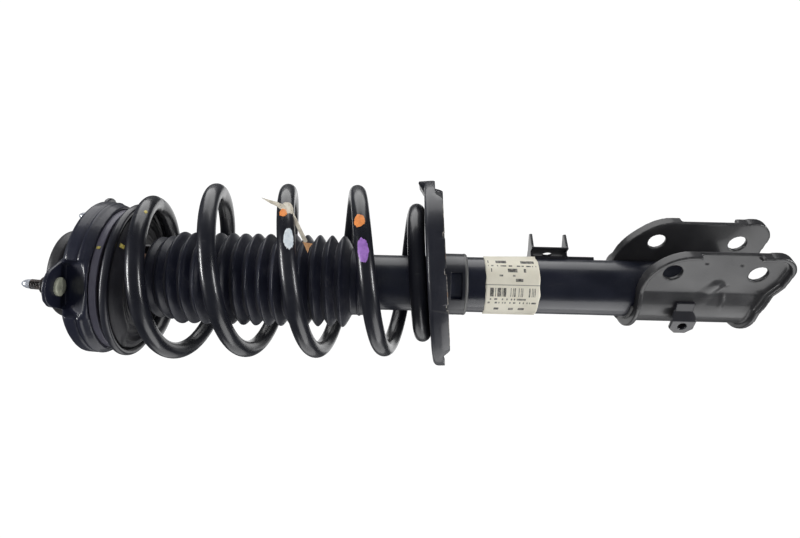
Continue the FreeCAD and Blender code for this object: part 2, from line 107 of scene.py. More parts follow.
# ---------------------------------------------------------------- material helpers
class Paint:
    """Small builder for a procedural Principled material in object coordinates."""

    def __init__(self, name, colour, roughness, metallic=0.0, specular=0.5, coat=0.0, coat_rough=0.1,
                 sheen=0.0):
        self.mat = bpy.data.materials.new(name)
        self.mat.use_nodes = True
        self.tree = self.mat.node_tree
        self.nodes = self.tree.nodes
        self.links = self.tree.links
        self.bsdf = self.nodes["Principled BSDF"]
        self.coord = self.nodes.new("ShaderNodeTexCoord").outputs["Object"]
        self.bsdf.inputs["Base Color"].default_value = (*colour, 1)
        self.bsdf.inputs["Roughness"].default_value = roughness
        self.bsdf.inputs["Metallic"].default_value = metallic
        self.bsdf.inputs["Specular IOR Level"].default_value = specular
        self.bsdf.inputs["Coat Weight"].default_value = coat
        self.bsdf.inputs["Coat Roughness"].default_value = coat_rough
        self.bsdf.inputs["Sheen Weight"].default_value = sheen
        self.colour = None
        self.base = colour

    def noise(self, scale, detail=4.0, rough=0.55, stretch=(1, 1, 1), distortion=0.0):
        mapping = self.nodes.new("ShaderNodeMapping")
        mapping.inputs["Scale"].default_value = stretch
        self.links.new(self.coord, mapping.inputs["Vector"])
        tex = self.nodes.new("ShaderNodeTexNoise")
        tex.inputs["Scale"].default_value = scale
        tex.inputs["Detail"].default_value = detail
        tex.inputs["Roughness"].default_value = rough
        tex.inputs["Distortion"].default_value = distortion
        self.links.new(mapping.outputs["Vector"], tex.inputs["Vector"])
        return tex.outputs["Fac"]

    def remap(self, source, low, high, to_low=0.0, to_high=1.0):
        node = self.nodes.new("ShaderNodeMapRange")
        node.inputs["From Min"].default_value = low
        node.inputs["From Max"].default_value = high
        node.inputs["To Min"].default_value = to_low
        node.inputs["To Max"].default_value = to_high
        self.links.new(source, node.inputs["Value"])
        return node.outputs["Result"]

    def math(self, operation, first, second):
        node = self.nodes.new("ShaderNodeMath")
        node.operation = operation
        for socket, value in zip(node.inputs, (first, second)):
            if hasattr(value, "is_output"):
                self.links.new(value, socket)
            else:
                socket.default_value = value
        return node.outputs[0]

    def tint(self, mask, colour):
        """Mix a second colour over what is there, where the mask is high."""
        mix = self.nodes.new("ShaderNodeMix")
        mix.data_type = "RGBA"
        self.links.new(mask, mix.inputs["Factor"])
        if self.colour is None:
            mix.inputs["A"].default_value = (*self.base, 1)
        else:
            self.links.new(self.colour, mix.inputs["A"])
        mix.inputs["B"].default_value = (*colour, 1)
        self.colour = mix.outputs["Result"]
        self.links.new(self.colour, self.bsdf.inputs["Base Color"])
        return self

    def rough(self, source, low, high, to_low, to_high):
        self.links.new(self.remap(source, low, high, to_low, to_high), self.bsdf.inputs["Roughness"])
        return self

    def bump(self, *layers):
        """Layers of (height source, distance in metres)."""
        normal = None
        for source, distance in layers:
            node = self.nodes.new("ShaderNodeBump")
            node.inputs["Strength"].default_value = 1.0
            node.inputs["Distance"].default_value = distance
            self.links.new(source, node.inputs["Height"])
            if normal is not None:
                self.links.new(normal, node.inputs["Normal"])
            normal = node.outputs["Normal"]
        self.links.new(normal, self.bsdf.inputs["Normal"])
        return self

    def worn_edges(self, low, high):
        """Mask that is high on convex edges, broken up by noise."""
        point = self.nodes.new("ShaderNodeNewGeometry").outputs["Pointiness"]
        edge = self.remap(point, low, high)
        patchy = self.remap(self.noise(140, 5, 0.7), 0.48, 0.62)
        return self.math("MULTIPLY", edge, patchy)


DUST = (0.09, 0.088, 0.085)
RUBBER_DUST = (0.12, 0.115, 0.11)
WORN_STEEL = (0.35, 0.34, 0.33)


def enamel(name, colour, roughness, dust=0.25, specular=0.5, peel=0.00003, worn=None):
    """Painted steel: faint orange peel, uneven gloss, a little dust and fine scratches."""
    paint = Paint(name, colour, roughness, specular=specular, coat=0.25, coat_rough=0.12)
    broad = paint.noise(28, 4, 0.6)
    fine = paint.noise(420, 3, 0.6)
    scratch = paint.noise(260, 2, 0.5, stretch=(1.0, 1.0, 0.06), distortion=0.4)
    paint.tint(paint.remap(broad, 0.35, 0.7, 0.0, 0.5), tuple(1.9 * c + 0.002 for c in colour))
    specks = paint.remap(paint.noise(900, 3, 0.7), 0.42, 0.7)
    dusty = paint.math("MULTIPLY", paint.remap(broad, 0.5, 0.72), specks)
    paint.tint(paint.math("MULTIPLY", dusty, dust), DUST)
    paint.tint(paint.remap(scratch, 0.69, 0.74, 0.0, 0.25), DUST)
    if worn:
        paint.tint(paint.worn_edges(*worn), WORN_STEEL)
    paint.rough(broad, 0.3, 0.75, roughness * 0.8, roughness * 1.35)
    paint.bump((fine, peel), (paint.noise(90, 2, 0.5), peel * 3))
    return paint.mat


def rubber(name, colour, roughness=0.55, dust=0.4, specular=0.35, grain=0.00006):
    """Matt rubber with a fine grain and patches of dust."""
    paint = Paint(name, colour, roughness, specular=specular, sheen=0.05)
    broad = paint.noise(40, 5, 0.62)
    fine = paint.noise(700, 3, 0.6)
    paint.tint(paint.remap(broad, 0.35, 0.75, 0.0, 0.6), tuple(2.1 * c + 0.002 for c in colour))
    dusty = paint.math("MULTIPLY", paint.remap(broad, 0.52, 0.72), paint.remap(fine, 0.35, 0.7))
    paint.tint(paint.math("MULTIPLY", dusty, dust), RUBBER_DUST)
    paint.rough(broad, 0.3, 0.75, roughness * 0.8, roughness * 1.25)
    paint.bump((fine, grain), (paint.noise(120, 3, 0.5), grain * 2))
    return paint.mat


def metal(name, colour, roughness, spots=(0.1, 0.09, 0.08), spot_share=0.3):
    """Bare or plated metal with stains."""
    paint = Paint(name, colour, roughness, metallic=1.0)
    broad = paint.noise(60, 5, 0.6)
    fine = paint.noise(800, 3, 0.6)
    paint.tint(paint.remap(broad, 0.45, 0.75, 0.0, spot_share), spots)
    paint.tint(paint.remap(fine, 0.55, 0.8, 0.0, 0.3), tuple(0.6 * c for c in colour))
    paint.rough(fine, 0.25, 0.75, roughness * 0.75, roughness * 1.4)
    paint.bump((fine, 0.00002))
    return paint.mat


def plastic(name, colour, roughness=0.4):
    """Moulded plastic with a faint texture."""
    paint = Paint(name, colour, roughness, specular=0.45)
    broad = paint.noise(50, 4, 0.6)
    paint.tint(paint.remap(broad, 0.4, 0.75, 0.0, 0.5), tuple(1.6 * c + 0.003 for c in colour))
    paint.rough(broad, 0.3, 0.7, roughness * 0.85, roughness * 1.25)
    paint.bump((paint.noise(900, 3, 0.55), 0.00003))
    return paint.mat


# ---------------------------------------------------------------- materials
MATERIALS = {
    "plate_paint": enamel("mount_enamel", (0.0080, 0.0092, 0.0190), 0.44, dust=0.18, specular=0.4),
    "mount_rubber": rubber("mount_rubber", (0.012, 0.012, 0.013)),
    "bare_steel": metal("bare_steel", (0.52, 0.51, 0.49), 0.32),
    "zinc": metal("zinc_plate", (0.62, 0.62, 0.60), 0.3, spots=(0.4, 0.38, 0.3)),
    "dark_zinc": metal("dark_zinc", (0.09, 0.088, 0.09), 0.4, spots=(0.16, 0.07, 0.035), spot_share=0.5),
    "cap_rubber": rubber("cap_rubber", (0.009, 0.009, 0.011), 0.42, dust=0.2, specular=0.45),
    "race_plastic": plastic("race_plastic", (0.02, 0.02, 0.022)),
    "cover_plastic": plastic("cover_plastic", (0.085, 0.082, 0.110), 0.42),
    "black_paint": enamel("black_enamel", (0.009, 0.009, 0.012), 0.35),
    "foam": rubber("stop_foam", (0.30, 0.27, 0.20), 0.85, dust=0.1, specular=0.2, grain=0.0002),
    "chrome_rod": metal("chrome", (0.76, 0.77, 0.79), 0.08, spot_share=0.05),
    "sintered": metal("sintered_iron", (0.20, 0.195, 0.19), 0.55),
    "cage_plastic": plastic("cage_plastic", (0.50, 0.46, 0.36), 0.5),
    "ball_steel": metal("ball_steel", (0.66, 0.67, 0.69), 0.1, spot_share=0.05),
    "seat_paint": enamel("seat_enamel", (0.0075, 0.0082, 0.0135), 0.4, dust=0.15),
    "insulator_rubber": rubber("insulator_rubber", (0.0115, 0.0115, 0.015), 0.5, dust=0.15),
    "spring_paint": enamel("spring_enamel", (0.0060, 0.0066, 0.0105), 0.30, dust=0.08, peel=0.00002),
    "boot_rubber": rubber("boot_rubber", (0.0064, 0.0076, 0.0160), 0.42, dust=0.35, specular=0.4),
    "tube_paint": enamel("tube_enamel", (0.0060, 0.0074, 0.0155), 0.33, dust=0.3),
    "bracket_paint": enamel("bracket_enamel", (0.016, 0.016, 0.0175), 0.42, dust=0.22, worn=(0.535, 0.60)),
    "weld_metal": metal("weld_metal", (0.36, 0.35, 0.33), 0.42, spots=(0.05, 0.05, 0.055), spot_share=0.8),
    "label_paper": Paint("label_edge", (0.60, 0.57, 0.50), 0.7).mat,
}

for item in frame["record"].get("materials", []):
    for name in item.get("nodes", []):
        for material_slot in nodes[name].material_slots:
            material_slot.material = MATERIALS[item["slot"]]


# ---------------------------------------------------------------- mesh helpers
def piece(name, verts, faces, material, body, slot, smooth=True):
    """Mesh object from millimetre points, riding on a body."""
    mesh = bpy.data.meshes.new(name)
    mesh.from_pydata([Vector(v) * MM for v in verts], [], faces)
    mesh.validate()
    bm = bmesh.new()
    bm.from_mesh(mesh)
    bmesh.ops.remove_doubles(bm, verts=bm.verts, dist=2e-6)
    bmesh.ops.recalc_face_normals(bm, faces=bm.faces)
    bm.to_mesh(mesh)
    bm.free()
    mesh.polygons.foreach_set("use_smooth", [smooth] * len(mesh.polygons))
    obj = bpy.data.objects.new(name, mesh)
    scene.collection.objects.link(obj)
    obj.data.materials.append(material)
    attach(obj, body)
    return obj


def fillet(points, radius, steps=5):
    """Round the corners of a closed profile; radius may be a list with one value a corner."""
    count = len(points)
    radii = radius if isinstance(radius, (list, tuple)) else [radius] * count
    result = []
    for i, (r, z) in enumerate(points):
        before = Vector(points[i - 1])
        after = Vector(points[(i + 1) % count])
        corner = Vector((r, z))
        back, ahead = before - corner, after - corner
        reach = min(radii[i], 0.45 * back.length, 0.45 * ahead.length)
        if reach < 1e-4:
            result.append((r, z))
            continue
        a = corner + back.normalized() * reach
        b = corner + ahead.normalized() * reach
        for k in range(steps + 1):
            t = k / steps
            p = a * (1 - t) ** 2 + corner * 2 * t * (1 - t) + b * t ** 2
            result.append((p.x, p.y))
    return result


def revolved(profile, steps=256, closed=True, wobble=None):
    """Points and quads of a profile of (radius, height) turned about Z."""
    verts, faces = [], []
    count = len(profile)
    for s in range(steps):
        angle = 2 * math.pi * s / steps
        for r, z in profile:
            dr, dz = wobble(angle, r, z) if wobble else (0.0, 0.0)
            verts.append(Vector(((r + dr) * math.cos(angle), (r + dr) * math.sin(angle), z + dz)))
    last = count if closed else count - 1
    for s in range(steps):
        t = (s + 1) % steps
        for k in range(last):
            m = (k + 1) % count
            faces.append((s * count + k, t * count + k, t * count + m, s * count + m))
    return verts, faces


def turned(name, profile, material, body, slot, place=Matrix.Identity(4), **kwargs):
    verts, faces = revolved(profile, **kwargs)
    return piece(name, [place @ v for v in verts], faces, material, body, slot)


def lumps(scale, height, seed):
    """Seeded irregularity for revolved pieces."""
    offset = Vector((seed * 3.7, seed * 1.9, seed * 5.3))

    def at(angle, r, z):
        p = Vector((r * math.cos(angle), r * math.sin(angle), z)) * scale + offset
        return height * noise.noise(p), height * 0.5 * noise.noise(p + Vector((9.1, 4.7, 2.2)))
    return at


def evaluated(obj):
    graph = bpy.context.evaluated_depsgraph_get()
    final = bpy.data.meshes.new_from_object(obj.evaluated_get(graph))
    obj.modifiers.clear()
    obj.data = final
    return final


def remeshed(name, source, voxel, material, smooth=2, shape=None, melt=None, melt_steps=40):
    """Copy of a CAD node as sheet metal with softened edges and pressed detail."""
    obj = nodes[source]
    bm = bmesh.new()
    bm.from_mesh(obj.data)
    bmesh.ops.remove_doubles(bm, verts=bm.verts, dist=1e-6)
    bmesh.ops.recalc_face_normals(bm, faces=bm.faces)
    mesh = bpy.data.meshes.new(name)
    bm.to_mesh(mesh)
    bm.free()
    copy = bpy.data.objects.new(name, mesh)
    scene.collection.objects.link(copy)
    remesh = copy.modifiers.new("remesh", "REMESH")
    remesh.mode = "VOXEL"
    remesh.voxel_size = voxel * MM
    soften = copy.modifiers.new("soften", "SMOOTH")
    soften.factor = 0.5
    soften.iterations = smooth
    final = evaluated(copy)
    if melt:
        group = copy.vertex_groups.new(name="melt")
        for vertex in final.vertices:
            weight = melt(vertex.co / MM)
            if weight > 0.01:
                group.add([vertex.index], weight, "REPLACE")
        soften = copy.modifiers.new("melt", "SMOOTH")
        soften.factor = 0.5
        soften.iterations = melt_steps
        soften.vertex_group = "melt"
        final = evaluated(copy)
        copy.vertex_groups.clear()
    if shape:
        for vertex in final.vertices:
            vertex.co = shape(vertex.co / MM) * MM
    final.polygons.foreach_set("use_smooth", [True] * len(final.polygons))
    final.materials.clear()
    final.materials.append(material)
    body = obj["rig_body"]
    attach(copy, body)
    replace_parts(copy, source)
    return copy


def smooth_step(value):
    t = min(1.0, max(0.0, value))
    return t * t * (3 - 2 * t)


def bell(value, centre, width):
    """Smooth bump of height 1 about a centre."""
    t = abs(value - centre) / width
    return 0.0 if t >= 1 else (1 - t * t) ** 2


def polar(radius, degrees):
    angle = math.radians(degrees)
    return radius * math.cos(angle), radius * math.sin(angle)


def lobe_angles():
    return [MOUNT_TURN - 60 + 120 * i for i in range(3)]


# ---------------------------------------------------------------- top mount
LEAN_BACK = LEAN.inverted()


def press_mount(p):
    """Groove between the two layers of the rim."""
    q = LEAN_BACK @ p
    radius = math.hypot(q.x, q.y)
    if radius > 62.5 and -24 < q.z < -14:
        depth = 0.9 * bell(q.z, -18.6, 1.3) - 0.5 * bell(q.z, -21.4, 1.8)
        q.x -= q.x / radius * depth
        q.y -= q.y / radius * depth
    return LEAN @ q


def melt_mount(p):
    """The floor of each recess runs smoothly out of the ear and into the skirt."""
    q = LEAN_BACK @ p
    radius = math.hypot(q.x, q.y)
    azimuth = math.degrees(math.atan2(q.y, q.x))
    off = min(abs((azimuth - a + 180) % 360 - 180) for a in lobe_angles())
    side = radius * math.sin(math.radians(off))
    if off > 80:
        return 0.0
    root = bell(radius, 47, 11) * bell(q.z, -7, 12) * (1.0 if side < 19 else 0.0)
    low = bell(radius, 62, 8) * bell(q.z, -24, 9) * (1.0 if side < 24 else 0.0)
    walls = 0.6 * bell(side, 12 + 0.45 * (radius - 40), 4.5) if -24 < q.z < -5 and radius > 48 else 0.0
    return min(1.0, root * 2 + low * 1.5 + walls)


remeshed("mount_pressing", "mount_plate", 0.8, MATERIALS["plate_paint"], smooth=4,
         shape=press_mount, melt=melt_mount)

cap_profile = fillet([(0.02, 19.6), (31, 19.6), (36.6, 18.0), (38, 15.0), (38, 9.2), (36.6, 8), (33.1, 8),
                      (33.1, 9.8), (35.2, 10.6), (35.2, 15), (33, 17.2), (0.02, 17.2)],
                     [0, 3, 3, 2.5, 1.2, 1, 0.4, 0.6, 0.8, 1, 1, 0])
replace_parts(turned("mount_cap", cap_profile, MATERIALS["cap_rubber"], "top_mount", "cap_rubber", place=LEAN,
                   wobble=lumps(0.05, 0.25, 3)), "dust_cap")


def thread(low, high, crest, pitch, steps=48):
    """Screw-threaded cylinder between two heights."""
    turns = (high - low) / pitch
    count = int(round(turns * 12))
    verts, faces = [], []
    for k in range(count + 1):
        z = low + (high - low) * k / count
        for s in range(steps):
            angle = 2 * math.pi * s / steps
            phase = ((z - low) / pitch + s / steps) % 1.0
            depth = 0.55 * (1 - abs(2 * phase - 1)) ** 1.3
            ends = min(1.0, (z - low) / pitch, (high - z) / pitch)
            r = crest - depth * max(ends, 0.0)
            verts.append(Vector((r * math.cos(angle), r * math.sin(angle), z)))
    for k in range(count):
        for s in range(steps):
            t = (s + 1) % steps
            faces.append((k * steps + s, k * steps + t, (k + 1) * steps + t, (k + 1) * steps + s))
    faces.append(tuple(reversed(range(steps))))
    faces.append(tuple(range(count * steps, (count + 1) * steps)))
    return verts, faces


def hex_nut(across, low, high, bore, steps=96):
    """Hexagon nut with chamfered corners and a round bore."""
    verts, faces = [], []
    levels = [low, low + 0.5, low + 1.1, high - 1.1, high - 0.5, high]
    rings = []
    corner = across / math.sqrt(3)
    for z in levels:
        ring = []
        for s in range(steps):
            angle = 2 * math.pi * s / steps
            sector = (angle + math.pi / 6) % (math.pi / 3) - math.pi / 6
            flat = across / 2 / math.cos(sector)
            edge = min(abs(z - low), abs(high - z))
            limit = corner - 0.12 - max(0.0, 1.1 - edge) * 0.9
            r = min(flat, limit)
            ring.append(Vector((r * math.cos(angle), r * math.sin(angle), z)))
        rings.append(ring)
    for r, z in ((bore + 0.6, high), (bore, high - 0.6), (bore, low + 0.6), (bore + 0.6, low)):
        turns = [2 * math.pi * s / steps for s in range(steps)]
        rings.append([Vector((r * math.cos(t), r * math.sin(t), z)) for t in turns])
    for ring in rings:
        verts += ring
    count = len(rings)
    for k in range(count):
        m = (k + 1) % count
        for s in range(steps):
            t = (s + 1) % steps
            faces.append((k * steps + s, k * steps + t, m * steps + t, m * steps + s))
    return verts, faces


def combined(parts):
    verts, faces = [], []
    for part_verts, part_faces in parts:
        base = len(verts)
        verts += part_verts
        faces += [tuple(base + i for i in face) for face in part_faces]
    return verts, faces


def moved(part, place):
    verts, faces = part
    return [place @ v for v in verts], faces


def tip_material():
    paint = Paint("stud_tip", (0.55, 0.58, 0.64), 0.3, metallic=0.5)
    fine = paint.noise(500, 3, 0.6)
    paint.tint(paint.remap(fine, 0.5, 0.8, 0.0, 0.4), (0.5, 0.5, 0.52))
    paint.rough(fine, 0.3, 0.7, 0.14, 0.3).bump((fine, 0.00002))
    return paint.mat


def head_material():
    paint = Paint("stud_head", (0.36, 0.37, 0.29), 0.5, metallic=0.15)
    broad = paint.noise(120, 4, 0.6)
    paint.tint(paint.remap(broad, 0.35, 0.7, 0.0, 0.7), (0.24, 0.25, 0.20))
    paint.tint(paint.remap(paint.noise(300, 4, 0.6), 0.55, 0.7, 0.0, 0.6), (0.56, 0.55, 0.44))
    paint.rough(broad, 0.3, 0.7, 0.4, 0.65).bump((paint.noise(600, 3, 0.6), 0.00004))
    return paint.mat


stud_parts, tip_parts, head_parts, nut_parts = [], [], [], []
for index, lobe_angle in enumerate(lobe_angles()):
    stud_x, stud_y = polar(STUD_CIRCLE_R, lobe_angle)
    spot = LEAN @ Matrix.Translation((stud_x, stud_y, 0)) @ Matrix.Rotation(0.5 + index, 4, "Z")
    shank = thread(-PLATE_GAUGE + 0.2, 17.4, 3.98, 1.25)
    stud_parts.append(moved(shank, spot))
    tip = revolved(fillet([(0.02, 24.9), (1.2, 24.7), (2.5, 23.2), (3.5, 20.8), (3.7, 17.6), (3.7, 16.8),
                           (0.02, 16.8)], [0, 0.6, 1.0, 1.5, 0.4, 0.2, 0]), steps=48)
    tip_parts.append(moved(tip, spot))
    head = revolved(fillet([(0.02, -PLATE_GAUGE + 0.1), (7.5, -PLATE_GAUGE + 0.1), (7.5, -PLATE_GAUGE - 1.5),
                            (6.7, -PLATE_GAUGE - 2.3), (5.0, -PLATE_GAUGE - 2.35), (4.4, -PLATE_GAUGE - 2.05),
                            (0.02, -PLATE_GAUGE - 2.0)], [0, 0.2, 0.8, 0.7, 0.3, 0.4, 0]), steps=72)
    head_parts.append(moved(head, spot))
    nut_parts.append(moved(hex_nut(13.0, 1.6, 8.5, 4.05), spot))
    flange = revolved(fillet([(4.05, 0.05), (8.4, 0.05), (8.4, 1.2), (6.6, 2.4), (4.05, 2.4)],
                             [0, 0.3, 0.5, 0.5, 0]), steps=72)
    nut_parts.append(moved(flange, spot))
studs = piece("mount_stud_threads", *combined(stud_parts), MATERIALS["dark_zinc"], "top_mount", "dark_zinc")
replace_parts(studs, "mount_studs")
piece("mount_stud_tips", *combined(tip_parts), tip_material(), "top_mount", "zinc")
piece("mount_stud_heads", *combined(head_parts), head_material(), "top_mount", "zinc")
piece("mount_stud_nuts", *combined(nut_parts), MATERIALS["dark_zinc"], "top_mount", "dark_zinc", smooth=False)

cover_profile = fillet([(48, -30.6), (57.4, -30.6), (57.6, -33), (60, -33), (60.2, -27.4), (59, -27.6),
                        (48, -28.2)], [0.3, 0.5, 0.5, 0.9, 0.6, 0.4, 0.3])
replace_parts(turned("bearing_skirt", cover_profile, MATERIALS["cover_plastic"], "top_mount", "cover_plastic",
                   place=LEAN, wobble=lumps(0.04, 0.15, 5)), "bearing_cover")


# ---------------------------------------------------------------- upper spring seat and its pad
def seat_profile():
    low = SEAT_TOP - SEAT_RIM_DEPTH
    return fillet([(SEAT_HOLE_R, SEAT_TOP), (60, SEAT_TOP), (64, SEAT_TOP), (66.2, SEAT_TOP - 1.6),
                   (66.4, SEAT_TOP - 4.6), (65.2, low + 0.2), (62.8, low + 0.1), (61.2, low + 1.6),
                   (59.5, SEAT_TOP - 2.4), (SEAT_HOLE_R + 2.2, SEAT_TOP - 2.4),
                   (SEAT_HOLE_R + 2.2, low - 2.6), (SEAT_HOLE_R + 1.4, low - 3.0), (SEAT_HOLE_R, low - 2.8)],
                  [0.5, 1, 1.5, 1.5, 1.5, 1.2, 1.2, 1, 1, 0.8, 0.5, 0.4, 0.4], steps=6)


seat = turned("upper_seat_pressing", seat_profile(), MATERIALS["seat_paint"], "upper_seat", "seat_paint",
              place=LEAN, wobble=lumps(0.03, 0.2, 7))
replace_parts(seat, "upper_spring_seat")


def pad_profile():
    floor = SEAT_TOP - 2.4
    face = SEAT_TOP - SEAT_RIM_DEPTH + 0.4
    points = [(SEAT_HOLE_R + 2.2, floor - 0.02), (59.4, floor - 0.02), (59.2, face + 0.4)]
    radii = [0.2, 0.2, 0.6]
    for radius in (54, 47, 40):
        points += [(radius + 2.6, face + 0.5), (radius, face - 0.7), (radius - 2.6, face + 0.5)]
        radii += [1.0, 1.6, 1.0]
    points += [(SEAT_HOLE_R + 2.2, face + 0.5)]
    radii += [0.3]
    return fillet(points, radii, steps=5)


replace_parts(turned("upper_pad", pad_profile(), MATERIALS["insulator_rubber"], "upper_seat", "insulator_rubber",
                   place=LEAN), "upper_insulator")


def pad_ramp():
    """The side of the pad that rises towards the free part of coil one."""
    face = SEAT_TOP - SEAT_RIM_DEPTH
    crest = fillet([(60.5, face + 1.5), (58.6, face - 1.4), (54.6, face - 4.6), (51.5, face - 6.2),
                    (48.4, face - 5.6), (46.6, face - 3.0), (44.4, face - 4.6), (42.6, face - 3.0),
                    (40.4, face - 4.2), (38.4, face - 2.6), (34.2, face - 1.2), (34.2, face + 1.5)],
                   [1, 1.5, 2, 2, 1.6, 1.2, 1.2, 1.2, 1.2, 1, 0.8, 0.5], steps=5)
    first, last, steps = -121.0, 21.0, 120
    verts, faces = [], []
    count = len(crest)
    for k in range(steps + 1):
        angle = first + (last - first) * k / steps
        rise = min(1.0, (angle - first) / 26, (last - angle) / 26)
        rise = rise * rise * (3 - 2 * rise)
        for r, z in crest:
            x, y = polar(r, angle)
            verts.append(LEAN @ Vector((x, y, face + 0.8 + (z - face - 0.8) * (0.05 + 0.95 * rise))))
    for k in range(steps):
        for i in range(count):
            j = (i + 1) % count
            faces.append((k * count + i, (k + 1) * count + i, (k + 1) * count + j, k * count + j))
    faces.append(tuple(range(count)))
    faces.append(tuple(reversed(range(steps * count, (steps + 1) * count))))
    piece("upper_pad_ramp", verts, faces, MATERIALS["insulator_rubber"], "upper_seat", "insulator_rubber")


pad_ramp()


# ---------------------------------------------------------------- coil spring
def between(value, stations):
    if value <= stations[0][0]:
        return stations[0][1]
    for (a0, v0), (a1, v1) in zip(stations, stations[1:]):
        if value <= a1:
            t = (value - a0) / (a1 - a0)
            t = t * t * (3 - 2 * t)
            return v0 + (v1 - v0) * t
    return stations[-1][1]


def spring_point(angle):
    """Centre of the wire at an angle along the spring, as in the CAD model."""
    radius = between(angle, [(SPRING_START, 55.0), (0, 64.0), (180, 65.0), (400, 67.5), (1180, 67.0),
                             (1440, 54.0), (SPRING_END, 49.5)])
    shift = between(angle, [(SPRING_START, -4.0), (100, 1.3), (430, 10.5), (1200, 11.8), (1440, 10.0)])
    x, y = polar(radius, SPRING_PHASE - angle)
    x += shift
    t = min(max(angle / SPRING_FREE, 0.0), 1.0)
    share = t + 0.016 * math.sin(math.pi * t)
    lean_up = math.tan(math.radians(MOUNT_TILT)) * between(angle, [(0, 1.0), (250, 0.0)])
    settled = between(angle, [(SPRING_FREE - 250, 0.0), (SPRING_FREE, 1.0)])
    lean_down = math.tan(math.radians(-LOWER_TILT)) * settled
    z = UPPER_WIRE_Z + (LOWER_WIRE_Z - UPPER_WIRE_Z) * share - lean_up * x + lean_down * x
    return Vector((x, y, z))


def wire_frame(angle):
    """Centre, outward and sideways directions of the wire."""
    centre = spring_point(angle)
    along = (spring_point(angle + 0.5) - spring_point(angle - 0.5)).normalized()
    azimuth = math.radians(SPRING_PHASE - angle)
    outward = Vector((math.cos(azimuth), math.sin(azimuth), 0))
    outward = (outward - along * outward.dot(along)).normalized()
    return centre, along, outward, along.cross(outward)


def wire_at(angle, turn, radius):
    centre, along, outward, side = wire_frame(angle)
    t = math.radians(turn)
    return centre + (outward * math.cos(t) + side * math.sin(t)) * radius


def spring_squash(obj):
    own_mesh(obj)


def make_spring():
    sides, verts, faces = 36, [], []
    step = 3.0
    angles = [SPRING_START + step * i for i in range(int((SPRING_END - SPRING_START) / step) + 1)]
    rounding = [(0.02, 0.0), (0.72, 0.0), (0.93, 0.35), (1.0, 1.1)]
    rings = [(angles[0], scale, inset) for scale, inset in rounding]
    rings += [(a, 1.0, 0.0) for a in angles[1:-1]]
    rings += [(angles[-1], scale, -inset) for scale, inset in reversed(rounding)]
    for angle, scale, inset in rings:
        centre, along, outward, side = wire_frame(angle)
        swell = 0.06 * noise.noise(Vector((angle * 0.03, 2.0, 5.0)))
        for s in range(sides):
            t = 2 * math.pi * s / sides
            r = (WIRE_R - 0.05 + swell) * scale
            verts.append(centre + along * inset + (outward * math.cos(t) + side * math.sin(t)) * r)
    for k in range(len(rings) - 1):
        for s in range(sides):
            t = (s + 1) % sides
            faces.append((k * sides + s, k * sides + t, (k + 1) * sides + t, (k + 1) * sides + s))
    return verts, faces


spring = piece("spring_wire", *make_spring(), MATERIALS["spring_paint"], "upper_seat", "spring_paint")
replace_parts(spring, "coil_spring")
spring_squash(spring)


def mark_material(name, colour, second):
    paint = Paint(name, colour, 0.45, specular=0.4)
    broad = paint.noise(260, 4, 0.65)
    paint.tint(paint.remap(broad, 0.42, 0.62, 0.0, 0.8), second)
    paint.rough(broad, 0.3, 0.7, 0.35, 0.6).bump((paint.noise(700, 3, 0.6), 0.00004))
    return paint.mat


def wire_mark(name, angle, turn, length, width, material, seed):
    """Dab of marking paint that follows the wire: length along it and width round it, millimetres."""
    rng = random.Random(seed)
    per_degree = (spring_point(angle + 0.5) - spring_point(angle - 0.5)).length
    sectors, rings_count = 40, 5
    wobble = [1 + 0.10 * math.sin(3 * 2 * math.pi * s / sectors + rng.uniform(0, 6)) * 0.6
              + rng.uniform(-0.05, 0.05) for s in range(sectors)]
    verts, faces = [wire_at(angle, turn, WIRE_R + 0.13)], []
    for k in range(1, rings_count + 1):
        share = k / rings_count
        lift = 0.13 if k < rings_count else -0.02
        for s in range(sectors):
            t = 2 * math.pi * s / sectors
            reach = share * wobble[s]
            a = angle + math.cos(t) * reach * length / 2 / per_degree
            b = turn + math.degrees(math.sin(t) * reach * width / 2 / WIRE_R)
            verts.append(wire_at(a, b, WIRE_R + lift))
    for s in range(sectors):
        faces.append((0, 1 + s, 1 + (s + 1) % sectors))
    for k in range(rings_count - 1):
        for s in range(sectors):
            t = (s + 1) % sectors
            a, b = 1 + k * sectors, 1 + (k + 1) * sectors
            faces.append((a + s, b + s, b + t, a + t))
    spring_squash(piece(name, verts, faces, material, "upper_seat", "label_paper"))


yellow = mark_material("yellow_mark", (0.62, 0.52, 0.13), (0.42, 0.35, 0.10))
orange = mark_material("orange_mark", (0.78, 0.27, 0.07), (0.62, 0.20, 0.05))
purple = mark_material("purple_mark", (0.34, 0.16, 0.52), (0.22, 0.10, 0.38))
pale = mark_material("pale_mark", (0.72, 0.77, 0.80), (0.50, 0.58, 0.63))
wire_mark("mark_yellow_spring", 42, -39, 3.6, 2.6, yellow, 1)
wire_mark("mark_orange_upper", 720 + 53, 6, 7.5, 6.5, orange, 2)
wire_mark("mark_pale", 720 + 71, -27, 15.5, 8.0, pale, 3)
wire_mark("mark_orange_lower", 1080 + 58, 15, 10.5, 9.5, orange, 4)
wire_mark("mark_purple", 1080 + 77, 6, 17.0, 9.0, purple, 5)


def skin(rows, columns):
    """Faces of a thin sheet: two grids of rows by columns cells, joined round their rim."""
    across = columns + 1
    per = (rows + 1) * across
    faces = []
    for layer in range(2):
        for i in range(rows):
            for j in range(columns):
                a = layer * per + i * across + j
                quad = (a, a + across, a + across + 1, a + 1)
                faces.append(quad if layer == 0 else tuple(reversed(quad)))
    rim = list(range(columns)) + [i * across + columns for i in range(rows)]
    rim += [rows * across + j for j in range(columns, 0, -1)] + [i * across for i in range(rows, 0, -1)]
    for a, b in zip(rim, rim[1:] + rim[:1]):
        faces.append((a, b, per + b, per + a))
    return faces


